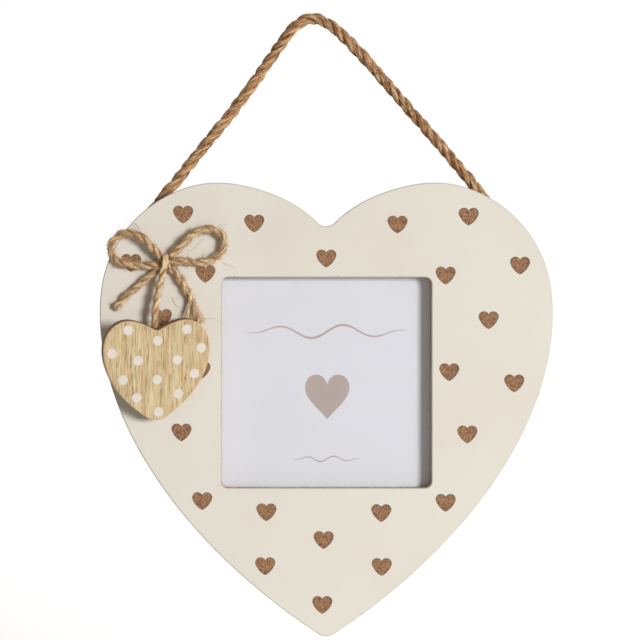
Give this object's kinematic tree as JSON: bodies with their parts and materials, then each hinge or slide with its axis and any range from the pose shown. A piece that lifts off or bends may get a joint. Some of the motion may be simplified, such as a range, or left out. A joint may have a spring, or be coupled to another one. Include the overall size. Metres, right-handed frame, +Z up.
{
  "type": "heart shaped photo frame",
  "caption": "Hanging heart shaped photo frame of painted board with a square window, a jute rope, etched hearts, a twine bow and a dotted wooden heart charm.",
  "frame": {"origin": "where the axis of the nail that the rope hangs over meets the wall", "axes": "+Z up, +X to the right as the front is seen, +Y from the front to the wall; the wall is the plane y = 0"},
  "size_m": [0.2, 0.0341, 0.2766],
  "materials": {
    "painted_board": "cream matt paint on board, with brown laser cut edges and etched hearts",
    "raw_board": "raw fibreboard",
    "clear_glass": "clear and polished",
    "insert_paper": "smooth matt card",
    "backing_hardboard": "dark brown pressed hardboard",
    "zinc_steel": "bright zinc plate",
    "screw_steel": "yellow zinc plate",
    "staple_wire": "galvanised wire",
    "jute_rope": "three strand twisted jute",
    "jute_twine": "two ply twisted jute with loose fibres",
    "clear_glue": "translucent hot glue",
    "charm_wood": "bare pale wood with brown laser cut edges",
    "dot_paint": "white printed dots"
  },
  "bodies": {
    "frame": {"front_panel": "painted_board", "rail_top": "raw_board", "rail_bottom": "raw_board", "rail_left": "raw_board", "rail_right": "raw_board", "glass": "clear_glass", "photo_insert": "insert_paper", "backing_board": "backing_hardboard", "button_screws": "screw_steel", "staples": "staple_wire", "rope": "jute_rope", "bow_twine_left": "jute_twine", "bow_twine_right": "jute_twine", "bow_knot": "jute_twine", "bow_glue": "clear_glue"},
    "turn_button_top": {"turn_button_top": "zinc_steel"},
    "turn_button_bottom": {"turn_button_bottom": "zinc_steel"},
    "turn_button_left": {"turn_button_left": "zinc_steel"},
    "turn_button_right": {"turn_button_right": "zinc_steel"},
    "charm_hanger": {"charm_strand": "jute_twine"},
    "charm": {"charm": "charm_wood", "charm_dots": "dot_paint", "charm_glue": "clear_glue", "charm_strand_end": "jute_twine"}
  },
  "joints": [
    {"name": "turn_button_top_pivot", "type": "hinge", "parent": "frame", "child": "turn_button_top", "pos_m": [0.0041, -0.00205, -0.1035], "axis": [0, 1, 0], "continuous": true},
    {"name": "turn_button_bottom_pivot", "type": "hinge", "parent": "frame", "child": "turn_button_bottom", "pos_m": [0.0041, -0.00205, -0.2125], "axis": [0, 1, 0], "continuous": true},
    {"name": "turn_button_left_pivot", "type": "hinge", "parent": "frame", "child": "turn_button_left", "pos_m": [-0.0504, -0.00205, -0.158], "axis": [0, 1, 0], "continuous": true},
    {"name": "turn_button_right_pivot", "type": "hinge", "parent": "frame", "child": "turn_button_right", "pos_m": [0.0586, -0.00205, -0.158], "axis": [0, 1, 0], "continuous": true},
    {"name": "charm_swing", "type": "hinge", "parent": "frame", "child": "charm_hanger", "pos_m": [-0.0675, -0.0195, -0.1106], "axis": [0, 1, 0], "range_deg": [-20, 20]},
    {"name": "charm_lift", "type": "hinge", "parent": "charm_hanger", "child": "charm", "pos_m": [-0.0709, -0.02, -0.1282], "axis": [-1, 0, 0], "range_deg": [0, 75]}
  ]
}
